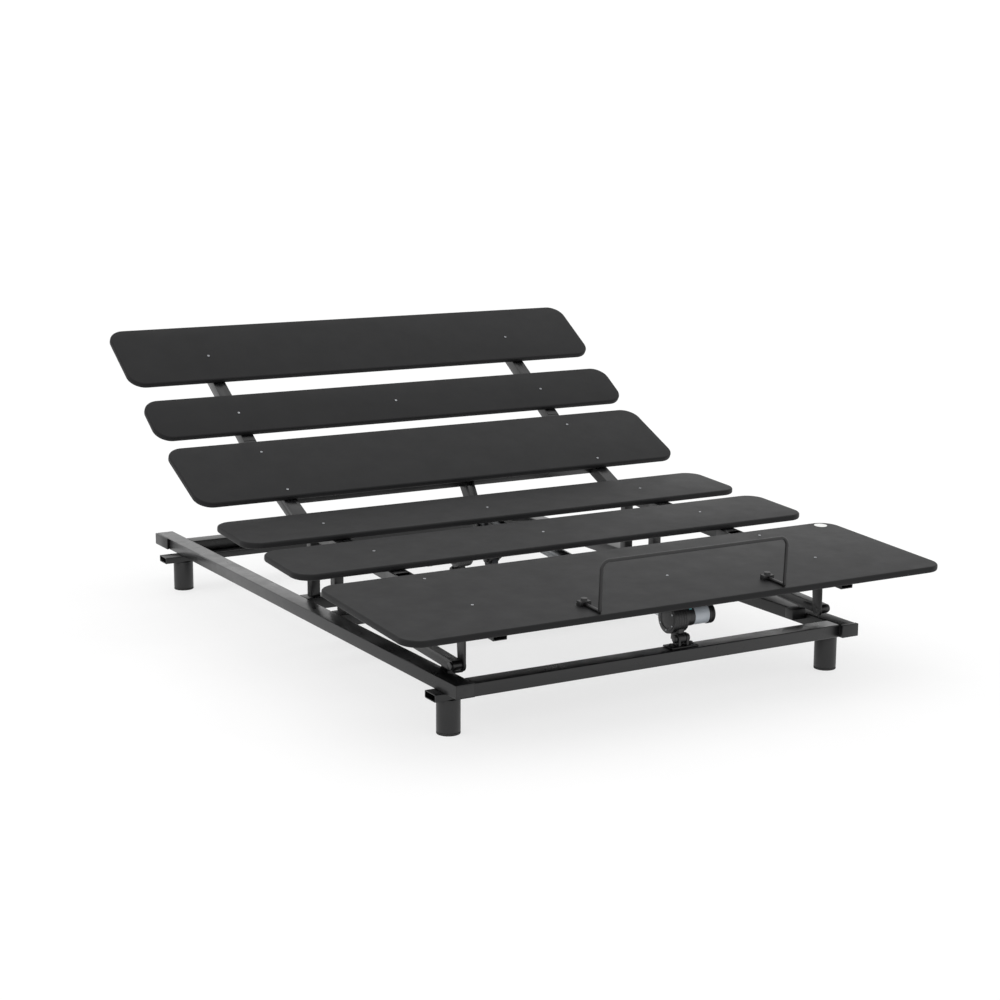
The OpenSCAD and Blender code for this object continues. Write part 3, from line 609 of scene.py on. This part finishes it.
controlUnit = {"ventCount": 7, "ventMm": (3, 44, 1.4), "pitchMm": 9, "panelInMm": 8.0, "panelDeepMm": 0.9}


def makeControlUnit(c):
    coated("control_box", "abs", 1.2)
    coated("power_inlet", "abs", 0.5)
    cover = cadCopy("control_box_cover", "controlBoxCover")
    low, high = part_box("control_box_cover")
    middle = (low + high) / 2
    # the ribs stand in a shallow panel, inside the cover's own thickness
    pickFaces(cover, lambda f: f.normal.z < -0.9)
    bpy.ops.mesh.inset(thickness=c["panelInMm"] * mm, depth=0)
    bpy.ops.mesh.inset(thickness=0.8 * mm, depth=-c["panelDeepMm"] * mm)
    leaveEdit()
    softEdges(cover, 0.5)
    body = frame["nodes"]["control_box_cover"]["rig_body"]
    dress(cover, body, "abs", ("control_box_cover",))
    ribs = []
    for i in range(c["ventCount"]):
        x = middle.x + (i - c["ventCount"] // 2) * c["pitchMm"] * mm
        bpy.ops.object.select_all(action="DESELECT")
        bpy.ops.mesh.primitive_cube_add(size=1, location=(x, middle.y, low.z + c["panelDeepMm"] * mm))
        rib = bpy.context.object
        rib.scale = [side * mm for side in c["ventMm"]]
        bpy.ops.object.transform_apply(location=True, rotation=True, scale=True)
        softEdges(rib, 0.4)
        ribs.append(rib)
    dress(joined(ribs, "controlBoxVents"), body, "abs")
    print("control unit")


boltHeads = {
    "radiusMm": 6.5, "riseMm": 4.0, "washerMm": 9.0, "washerRiseMm": 1.4,
    "inMm": 11.0, "plateMm": 4.0,
}
# each actuator bracket and the name of its pair of bolts
boltedBrackets = {"head_actuator_bracket": "headBracketBolts", "knee_actuator_bracket": "kneeBracketBolts"}


def boltAt(c, place):
    bpy.ops.object.select_all(action="DESELECT")
    bpy.ops.mesh.primitive_cylinder_add(vertices=24, radius=c["washerMm"] * mm, depth=c["washerRiseMm"] * mm,
                                        location=(0, 0, c["washerRiseMm"] * mm / 2))
    washer = bpy.context.object
    bpy.ops.object.transform_apply(location=True, rotation=True, scale=True)
    softEdges(washer, 0.4)
    bpy.ops.object.select_all(action="DESELECT")
    bpy.ops.mesh.primitive_cylinder_add(vertices=6, radius=c["radiusMm"] * mm, depth=c["riseMm"] * mm,
                                        location=(0, 0, (c["riseMm"] / 2 + c["washerRiseMm"]) * mm))
    head = bpy.context.object
    bpy.ops.object.transform_apply(location=True, rotation=True, scale=True)
    softEdges(head, 0.8)
    both = joined([washer, head], "bolt")
    both.matrix_world = place
    return both


def makeBolts(c):
    for node, name in boltedBrackets.items():
        low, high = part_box(node)
        bolts = []
        for x in (low.x + c["inMm"] * mm, high.x - c["inMm"] * mm):
            bolts.append(boltAt(c, Matrix.Translation((x, (low.y + high.y) / 2, low.z + c["plateMm"] * mm))))
        dress(joined(bolts, name), frame["nodes"][node]["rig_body"], "satinCoat")
    print("bolts")


makeBaseFrame(baseFrame)
makeLegs(legShape)
makeTubes()
makeBoards(boards)
makeAllScrews(screwHead)
makeFootEnd()
makeActuators()
makeControlUnit(controlUnit)
makeBolts(boltHeads)


studio = {
    "camera": (-2.66715, -4.63121, 1.42005),
    "cameraTurn": (78.6747, -0.2828, -30.2774),
    "lensMm": 73.03,
    "worldStrength": 1.1,
    "softboxes": {
        "softboxLeft": {"place": (-4.5, 0.5, 3.2), "size": 3.5, "power": 22},
        "softboxTop": {"place": (0.6, 0.6, 4.6), "size": 5.0, "power": 22},
    },
}


def makeStudio(c):
    bpy.ops.object.select_all(action="DESELECT")
    bpy.ops.mesh.primitive_plane_add(size=60)
    floor = bpy.context.object
    floor.name = "studioFloor"
    floor.data.materials.append(looks["floor"])
    world = bpy.data.worlds.new("studioWorld")
    bpy.context.scene.world = world
    world.use_nodes = True
    background = world.node_tree.nodes["Background"]
    background.inputs["Color"].default_value = (1.0, 1.0, 1.0, 1.0)
    background.inputs["Strength"].default_value = c["worldStrength"]
    aim = Vector((0, 0.1, 0.3))
    for name, box in c["softboxes"].items():
        lamp = bpy.data.lights.new(name, "AREA")
        lamp.size = box["size"]
        lamp.energy = box["power"]
        holder = bpy.data.objects.new(name, lamp)
        bpy.context.scene.collection.objects.link(holder)
        holder.location = box["place"]
        holder.rotation_euler = (aim - Vector(box["place"])).to_track_quat("-Z", "Y").to_euler()
    lens = bpy.data.cameras.new("studioCamera")
    lens.lens = c["lensMm"]
    lens.sensor_width = 36
    holder = bpy.data.objects.new("studioCamera", lens)
    bpy.context.scene.collection.objects.link(holder)
    holder.location = c["camera"]
    holder.rotation_euler = [math.radians(a) for a in c["cameraTurn"]]
    bpy.context.scene.camera = holder
    bpy.context.scene.view_settings.view_transform = "Standard"
    print("studio")


makeStudio(studio)
